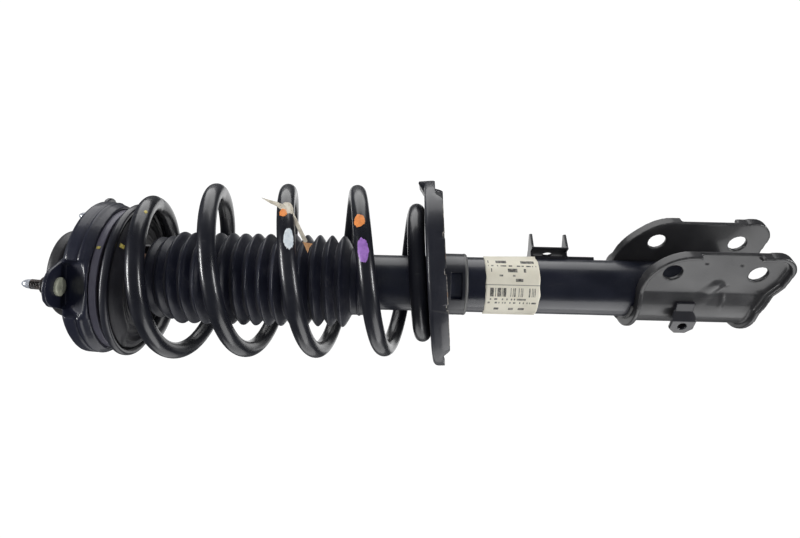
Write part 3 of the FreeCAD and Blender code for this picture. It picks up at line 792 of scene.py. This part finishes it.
def ring_dab(name, first, last, section, material, body):
    """Dab of marking paint on a turned surface: a strip of (radius, height) points over a few degrees."""
    steps, thick, verts = 8, 0.18, []
    for lift in (0.0, thick):
        for k in range(steps + 1):
            angle = first + (last - first) * k / steps
            wave = 0.25 * math.sin(k * 1.9)
            for r, z in section:
                x, y = polar(r + lift, angle)
                verts.append(LEAN @ Vector((x, y, z + wave - lift * 0.4)))
    piece(name, verts, skin(steps, len(section) - 1), material, body, "label_paper")


ring_dab("mark_yellow_band", -25.5, -23.5, [(60.25, -28.6), (60.25, -30), (60.15, -31.4)], yellow,
         "top_mount")
ring_dab("mark_yellow_seat", -22, -18.6, [(59.6, -45.2), (58.2, -46.1), (56.4, -47.6)], yellow, "upper_seat")


# ---------------------------------------------------------------- dust boot
def boot_profile():
    """Rounded folds with narrow valleys, a small head and a collar on the tube."""
    outer = [(BOOT_ROOT_R - 1, BOOT_TOP), (35.2, BOOT_TOP - 3.2), (35.4, BOOT_TOP - 4.8),
             (32.4, BOOT_TOP - 9), (36.2, BOOT_TOP - 12.2), (36.4, BOOT_TOP - 14),
             (BOOT_ROOT_R, BOOT_TOP - 17.9)]
    radii = [0.5, 1.5, 1.5, 1.2, 1.5, 1.5, 0.9]
    for fold in range(BOOT_FOLDS):
        z = BOOT_FIRST_FOLD - BOOT_PITCH * fold
        outer += [(BOOT_PEAK_R - 2.2, z + 2.5), (BOOT_PEAK_R - 0.05, z + 0.55),
                  (BOOT_PEAK_R - 0.05, z - 0.55), (BOOT_PEAK_R - 2.2, z - 2.5),
                  (BOOT_ROOT_R, z - BOOT_PITCH / 2)]
        radii += [2.0, 0.7, 0.7, 2.0, 0.9]
    last = BOOT_FIRST_FOLD - BOOT_PITCH * (BOOT_FOLDS - 1) - BOOT_PITCH / 2
    outer += [(29.0, last - 2), (29.0, last - 7), (30.2, last - 8.5), (29.0, last - 10), (29.0, BOOT_BOTTOM)]
    radii += [1, 0.8, 0.8, 0.8, 0.8]
    inner = [(24.4, BOOT_BOTTOM), (24.4, last - 1)] + [(r - 1.4, z) for r, z in reversed(outer[:-5])]
    radii += [0.3, 0.5] + list(reversed(radii[:-5]))
    return fillet(outer + inner, radii, steps=4)


boot = turned("boot_bellows", boot_profile(), MATERIALS["boot_rubber"], "upper_seat", "boot_rubber",
              wobble=lumps(0.045, 0.55, 11), steps=224)
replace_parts(boot, "dust_boot")
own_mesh(boot)

# ---------------------------------------------------------------- damper tube
tube_profile = [(TUBE_R, TUBE_BOTTOM + 0.01), (TUBE_R, -480), (TUBE_R, -440), (TUBE_R, -400), (TUBE_R, -360),
                (TUBE_R, -330), (TUBE_R, -300), (TUBE_R, -260), (TUBE_R, TUBE_TOP - 5.9),
                (TUBE_R - 1.6, TUBE_TOP - 5.9), (TUBE_R - 1.6, TUBE_BOTTOM + 0.01)]
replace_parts(turned("damper_body", fillet(tube_profile, 0.3), MATERIALS["tube_paint"], "damper_tube",
                   "tube_paint"), "outer_tube")
cap = fillet([(0.02, TUBE_BOTTOM - 3.4), (12, TUBE_BOTTOM - 3.2), (20, TUBE_BOTTOM - 1.6),
              (23.9, TUBE_BOTTOM + 0.2), (22.4, TUBE_BOTTOM + 0.6), (22.4, TUBE_BOTTOM + 3),
              (0.02, TUBE_BOTTOM + 3)], [0, 4, 3, 1, 0.3, 0.3, 0])
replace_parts(turned("damper_foot", cap, MATERIALS["tube_paint"], "damper_tube", "tube_paint"), "base_cap")


# ---------------------------------------------------------------- lower seat
TRAY_NEAR = SPRING_PHASE - 92


def away_from(angle, direction):
    """Signed angle between two directions, from -180 to 180 degrees."""
    return (angle - direction + 180) % 360 - 180


def sheet_outline(angle):
    """Depth of the turned-down edge and rise of its hook, by direction about the tray."""
    near = away_from(angle, TRAY_NEAR)
    far = away_from(angle, SPRING_PHASE + 48)
    depth = 7.5 + 5.5 * between(-abs(near), [(-56, 0), (-47, 1)])
    depth += 6.5 * between(-abs(far), [(-34, 0), (-27, 1)])
    for notch in (-17, 3, 23):
        if abs(near - notch) < 1.7:
            depth -= 1.2
    rise = 6.0 * between(-abs(away_from(angle, SPRING_PHASE + 2)), [(-17, 0), (-11, 1)])
    rise -= 2.5 * between(-abs(away_from(angle, SPRING_PHASE - 178)), [(-20, 0), (-8, 1)])
    return depth, rise


def tube_reach(degrees):
    """Radius about the tray's own centre that lands on the wall of the damper tube."""
    centre = LOWER_LEAN.translation.xy
    toward = centre.dot(Vector(polar(1, degrees)))
    return -toward + math.sqrt(toward ** 2 + (TUBE_R + 0.05) ** 2 - centre.length_squared)


def lower_seat():
    """Pressed tray: sunk middle, flat track for the spring, turned-down edge with notches."""
    steps, gauge = 720, 2.6
    verts, faces = [], []
    edge = LOWER_SEAT_R - 0.45
    for k in range(steps):
        degrees = 360.0 * k / steps
        depth, rise = sheet_outline(degrees)
        ripple = 0.35 * noise.noise(Vector((*polar(3, degrees), 4)))
        hole = tube_reach(degrees)
        top = [(hole, -9.6, 0), (max(33, hole + 1), -9.6, 0), (36.5, -8.4, 0), (42.5, 0.2, 0),
               (45.5, 1.4, 0), (60, 1.5, 0), (68, 1.5, 0.05), (73.5, 1.5, 0.55), (76.6, 1.1, 0.9),
               (78.4, 0, 1), (edge, -1.9, 1), (edge, -0.5 * depth, 0.9), (edge, -depth + 0.5, 0.4),
               (edge - 0.4, -depth, 0.4)]
        bottom = [(edge - gauge + 0.4, -depth, 0.4), (edge - gauge, -depth + 0.5, 0.4),
                  (edge - gauge, -0.5 * depth - 1.0, 0.9), (edge - gauge, -3.4, 1),
                  (edge - gauge - 1.2, -1.6, 1),
                  (73, -1.2, 0.55), (68, -1.2, 0.05), (60, -1.2, 0), (46, -1.3, 0), (43.5, -2.4, 0),
                  (38, -10.6, 0), (max(34, hole + 1), -12.2, 0), (hole, -12.2, 0)]
        section = top + bottom
        count = len(section)
        for r, z, share in section:
            x, y = polar(r + (0.4 * ripple if r > 60 else 0), degrees)
            verts.append(LOWER_LEAN @ Vector((x, y, z + share * (rise + ripple))))
    for k in range(steps):
        t = (k + 1) % steps
        for i in range(count):
            j = (i + 1) % count
            faces.append((k * count + i, t * count + i, t * count + j, k * count + j))
    return verts, faces


def bare_edge():
    """Worn rim: chipped paint, pale metal and a little rust."""
    paint = Paint("bare_edge", (0.012, 0.012, 0.014), 0.45)
    paint.tint(paint.remap(paint.noise(190, 5, 0.7), 0.46, 0.56, 0.0, 0.8), (0.30, 0.28, 0.25))
    paint.tint(paint.remap(paint.noise(90, 4, 0.7), 0.58, 0.66, 0.0, 0.8), (0.20, 0.10, 0.045))
    paint.bump((paint.noise(500, 3, 0.6), 0.0001))
    return paint.mat


tray = piece("lower_seat_pressing", *lower_seat(), MATERIALS["seat_paint"], "damper_tube", "seat_paint")
tray.data.materials.append(bare_edge())
LOWER_LEAN_BACK = LOWER_LEAN.inverted()
for polygon in tray.data.polygons:
    q = LOWER_LEAN_BACK @ (polygon.center / MM)
    direction = math.degrees(math.atan2(q.y, q.x))
    low_edge = math.hypot(q.x, q.y) > LOWER_SEAT_R - 3.2 and q.z < -sheet_outline(direction)[0] + 1.5
    if low_edge and abs(away_from(direction, TRAY_NEAR)) < 44:
        polygon.material_index = 1
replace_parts(tray, "lower_spring_seat")
remeshed("seat_neck", "seat_collar", 0.5, MATERIALS["seat_paint"], smooth=2)

# ---------------------------------------------------------------- knuckle bracket and small brackets
# pits of the near ear: x, z, radius, depth
PITS = ((47.8, -513.6, 1.7, 0.9), (46.7, -541.5, 1.7, 0.9), (25.0, -537.5, 2.2, 0.45))


def press_knuckle(p):
    """Raised top of the far ear, and the pressed rib, crease and small pits of the near ear."""
    high = smooth_step((p.z + 482) / 13) * smooth_step((p.y + 8) / 24)
    high *= 1 - smooth_step((p.x - 8) / 46)
    p = Vector((p.x, p.y, p.z + 9.5 * high))
    if p.y > -19 or p.x < -2:
        return p
    start, end = Vector((8.0, -517.0)), Vector((25.0, -529.0))
    here = Vector((p.x, p.z))
    along = min(1.0, max(0.0, (here - start).dot(end - start) / (end - start).length_squared))
    away = (here - start - (end - start) * along).length
    rise = 1.9 * bell(away, 0, 7.5) * along
    rise += 0.7 * bell(p.z, -537, 3.2) * bell(p.x, 11, 11)
    sink = sum(depth * bell(math.hypot(p.x - x, p.z - z), 0, radius) for x, z, radius, depth in PITS)
    return Vector((p.x, p.y - rise + sink, p.z))


def melt_knuckle(p):
    return 0.8 * bell(p.x, 16.5, 5) * (1.0 if -580 < p.z < -474 else 0.0)


remeshed("knuckle_pressing", "knuckle_bracket", 0.8, MATERIALS["bracket_paint"], smooth=4,
         shape=press_knuckle, melt=melt_knuckle, melt_steps=14)
remeshed("hose_clip", "hose_bracket", 0.45, MATERIALS["black_paint"], smooth=3)
remeshed("sensor_tab", "sensor_bracket", 0.45, MATERIALS["black_paint"], smooth=3)


# ---------------------------------------------------------------- label, tag and small marks
LABEL_TOP, LABEL_LOW = -343.5, -388.5
LABEL_FROM, LABEL_TO = -134.0, 36.0


def label_material():
    """Aged cream paper with rows of plain dashes and a band of plain bars."""
    paint = Paint("label_print", (0.80, 0.765, 0.65), 0.62, specular=0.3)
    uv = paint.nodes.new("ShaderNodeUVMap")
    uv.uv_map = "print"
    axes = paint.nodes.new("ShaderNodeSeparateXYZ")
    paint.links.new(uv.outputs[0], axes.inputs[0])
    across, rows = axes.outputs["X"], axes.outputs["Y"]
    paint.tint(paint.remap(paint.noise(60, 5, 0.6), 0.4, 0.7, 0.0, 0.5), (0.66, 0.62, 0.50))
    paint.tint(paint.remap(paint.noise(22, 4, 0.6), 0.55, 0.7, 0.0, 0.4), (0.45, 0.42, 0.34))
    ink = None
    for seed, (low, high, cells, share, left, right_end) in enumerate([
            (0.160, 0.205, 11, 0.35, 0.10, 0.75), (0.275, 0.300, 44, 0.42, 0.05, 0.95),
            (0.325, 0.348, 36, 0.42, 0.05, 0.75), (0.370, 0.475, 74, 0.50, 0.08, 0.92),
            (0.550, 0.585, 16, 0.50, 0.55, 0.88), (0.610, 0.632, 22, 0.50, 0.25, 0.62),
            (0.665, 0.715, 17, 0.35, 0.10, 0.75), (0.745, 0.765, 46, 0.42, 0.05, 0.95),
            (0.800, 0.855, 15, 0.35, 0.05, 0.92)]):
        cell = paint.math("FLOOR", paint.math("MULTIPLY", across, float(cells)), 0.0)
        wn = paint.nodes.new("ShaderNodeTexWhiteNoise")
        wn.noise_dimensions = "1D"
        paint.links.new(paint.math("ADD", cell, 17.0 * (seed + 1)), wn.inputs["W"])
        mask = paint.math("GREATER_THAN", wn.outputs["Value"], share)
        for value, limit, operation in ((rows, low, "GREATER_THAN"), (rows, high, "LESS_THAN"),
                                        (across, left, "GREATER_THAN"), (across, right_end, "LESS_THAN")):
            mask = paint.math("MULTIPLY", mask, paint.math(operation, value, limit))
        ink = mask if ink is None else paint.math("MAXIMUM", ink, mask)
    faded = paint.math("MULTIPLY", ink, paint.remap(paint.noise(400, 3, 0.6), 0.3, 0.6, 0.55, 0.95))
    paint.tint(faded, (0.03, 0.03, 0.035))
    above = paint.math("GREATER_THAN", rows, 0.505)
    tear = paint.math("MULTIPLY", above, paint.math("LESS_THAN", rows, 0.515))
    paint.tint(paint.math("MULTIPLY", tear, 0.7), (0.14, 0.13, 0.12))
    paint.bump((paint.noise(500, 3, 0.6), 0.00003), (paint.noise(70, 3, 0.6), 0.0002))
    return paint.mat


def sticker():
    """Paper label with ragged ends, a lifted corner and its own print coordinates."""
    rows, columns = 150, 36
    verts, uvs = [], []
    for layer in range(2):
        for i in range(rows + 1):
            v = i / rows
            degrees = LABEL_FROM + (LABEL_TO - LABEL_FROM) * v
            for j in range(columns + 1):
                u = j / columns
                ragged = 0.7 * noise.noise(Vector((v * 9, 3.1 + (0 if j < columns / 2 else 5), 0)))
                z = LABEL_TOP + (LABEL_LOW - LABEL_TOP) * u
                if j in (0, columns):
                    z += ragged
                lift = 1.5 * max(0.0, (v - 0.93) / 0.07) ** 2 * (0.4 + 0.6 * u)
                lift += 0.9 * max(0.0, (0.04 - v) / 0.04) ** 2
                crinkle = 0.10 + 0.10 * noise.noise(Vector((v * 14, u * 4, 8.0)))
                r = TUBE_R + 0.16 + crinkle + lift - 0.12 * layer
                x, y = polar(r, degrees)
                verts.append(Vector((x, y, z)))
                uvs.append((u, v))
    obj = piece("tube_sticker", verts, skin(rows, columns), label_material(), "damper_tube", "label_paper")
    prints = obj.data.uv_layers.new(name="print")
    for loop in obj.data.loops:
        prints.data[loop.index].uv = uvs[loop.vertex_index]
    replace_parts(obj, "label")


sticker()


def scrap(name, outline, material, bend, twist, seed):
    """Thin torn scrap: an outline of (towards Z, towards the top side) points lifted off the wire."""
    thick = 0.18
    face_dir = Vector((0.6507, -0.7593, 0))
    top_dir = Vector((0.7592, 0.6507, 0))
    bm = bmesh.new()
    corners = [bm.verts.new((a, b, 0)) for a, b in outline]
    bm.faces.new(corners)
    bmesh.ops.triangulate(bm, faces=bm.faces[:])
    for _ in range(3):
        bmesh.ops.subdivide_edges(bm, edges=bm.edges[:], cuts=1, use_grid_fill=True)
    bm.verts.index_update()
    flat = [v.co.copy() for v in bm.verts]
    tris = [tuple(v.index for v in f.verts) for f in bm.faces]
    edges = [(e.verts[0].index, e.verts[1].index) for e in bm.edges if e.is_boundary]
    bm.free()
    verts = []
    for side in (0, 1):
        for co in flat:
            far = co.length
            out = bend * far + twist * co.x * co.y * 0.02
            out += 0.5 * noise.noise(Vector((co.x * 0.3, co.y * 0.3, seed)))
            verts.append(tag_anchor + Z * co.x + top_dir * co.y + face_dir * (out + side * thick))
    count = len(flat)
    faces = [tuple(reversed(t)) for t in tris] + [tuple(count + i for i in t) for t in tris]
    faces += [(a, b, count + b, count + a) for a, b in edges]
    spring_squash(piece(name, verts, faces, material, "upper_seat", "label_paper"))


Z = Vector((0, 0, 1))
paper = mark_material("tag_paper", (0.66, 0.62, 0.52), (0.48, 0.43, 0.35))
tan = mark_material("tag_tan", (0.62, 0.33, 0.15), (0.48, 0.24, 0.11))
wire_mark("tag_wrap", 720 + 49, -22, 11.5, 11.0, paper, 9)
tag_anchor = wire_at(720 + 49, -22, WIRE_R + 0.35)
scrap("tag_strip_upper", [(0, -1.5), (3, 1.5), (8, 3.6), (14, 5.0), (20.5, 6.6), (13, 2.2), (8, 0.2),
                          (5, -3.2), (1, -4)], paper, bend=0.08, twist=0.4, seed=2)
scrap("tag_strip_lower", [(1, -1), (-3.5, -2.5), (-7, -9), (-11, -17), (-15.5, -25.5), (-13.2, -28),
                          (-9.5, -20.5), (-5.5, -12.5), (-1.5, -7)], paper, bend=0.05, twist=-0.3, seed=4)
scrap("tag_end", [(-12.2, -26.5), (-19.8, -27.6), (-17.4, -31), (-16.4, -35)], tan,
      bend=0.07, twist=0.0, seed=6)

# ---------------------------------------------------------------- camera, lights and stage
camera_data = bpy.data.cameras.new("camera")
camera_data.lens = 25.65
camera_data.sensor_width = 36.0
camera_data.clip_start = 0.01
camera_data.clip_end = 60
camera = bpy.data.objects.new("camera", camera_data)
right = Vector((0.0123165, 0.0229166, -0.9996615))
up = Vector((0.7592391, 0.6503593, 0.0242634))
back = Vector((0.6506952, -0.7592810, -0.0093890))
turn = Matrix((right, up, back)).transposed().to_4x4()
camera.matrix_world = Matrix.Translation((0.33316, -0.37027, -0.27625)) @ turn
scene.collection.objects.link(camera)
scene.camera = camera

CENTRE = Vector((0.0, 0.0, -0.28))


def softbox(name, direction, distance, size, power, spin=Z):
    """Area light that faces the middle of the strut."""
    data = bpy.data.lights.new(name, "AREA")
    data.shape = "RECTANGLE"
    data.size, data.size_y = size
    data.energy = power
    obj = bpy.data.objects.new(name, data)
    scene.collection.objects.link(obj)
    z = direction.normalized()
    y = (spin - z * spin.dot(z)).normalized()
    x = y.cross(z)
    turn_to = Matrix((x, y, z)).transposed().to_4x4()
    obj.matrix_world = Matrix.Translation(CENTRE + z * distance) @ turn_to
    obj.visible_camera = False
    return obj


U = Vector((up.x, up.y, 0)).normalized()
B = Vector((back.x, back.y, 0)).normalized()
softbox("key", U - B * 0.22 + Z * 0.1, 1.2, (1.1, 1.6), 14)
softbox("under", -U * 0.874 + B * 0.129 - Z * 0.467, 1.4, (1.1, 1.1), 10)
softbox("under_rear", -U - B * 0.5, 1.3, (0.9, 1.4), 4)
softbox("left", Z + B * 0.42, 1.2, (0.10, 0.5), 9, spin=U)
softbox("right", -Z + B * 0.42, 1.3, (0.10, 0.5), 8, spin=U)
softbox("rear", -B, 1.4, (1.0, 1.4), 5)
fill = softbox("fill", B + U * 0.2, 1.6, (1.2, 1.2), 11)
fill.visible_glossy = False

world = bpy.data.worlds.new("studio")
scene.world = world
world.use_nodes = True
world.node_tree.nodes["Background"].inputs["Color"].default_value = (0.92, 0.95, 1.0, 1)
world.node_tree.nodes["Background"].inputs["Strength"].default_value = 0.10


def glow(name, colour):
    """Even, self-lit white of the backdrop and floor."""
    mat = bpy.data.materials.new(name)
    mat.use_nodes = True
    tree = mat.node_tree
    tree.nodes.remove(tree.nodes["Principled BSDF"])
    shine = tree.nodes.new("ShaderNodeEmission")
    shine.inputs["Color"].default_value = (*colour, 1)
    shine.inputs["Strength"].default_value = 1.05
    tree.links.new(shine.outputs[0], tree.nodes["Material Output"].inputs["Surface"])
    return mat


def stage_mesh(name, verts, faces, material):
    mesh = bpy.data.meshes.new(name)
    mesh.from_pydata(verts, [], faces)
    obj = bpy.data.objects.new(name, mesh)
    scene.collection.objects.link(obj)
    mesh.materials.append(material)
    for ray in ("visible_diffuse", "visible_glossy", "visible_transmission", "visible_shadow"):
        setattr(obj, ray, False)


def backdrop():
    """Wide round wall and ceiling about the studio."""
    profile = [(0.001, -6.0)] + [polar(6, a) for a in range(-85, 90, 5)] + [(0.001, 6.0)]
    verts, faces = revolved(profile, steps=48, closed=False)
    stage_mesh("backdrop", verts, faces, glow("backdrop_white", (1, 1, 1)))


def studio_floor():
    profile = [(0.001, -0.589), (0.15, -0.589), (0.3, -0.589), (0.45, -0.589)]
    verts, faces = revolved(profile, steps=96, closed=False)
    stage_mesh("floor", verts, faces, glow("floor_white", (0.98, 0.98, 0.98)))


backdrop()
studio_floor()
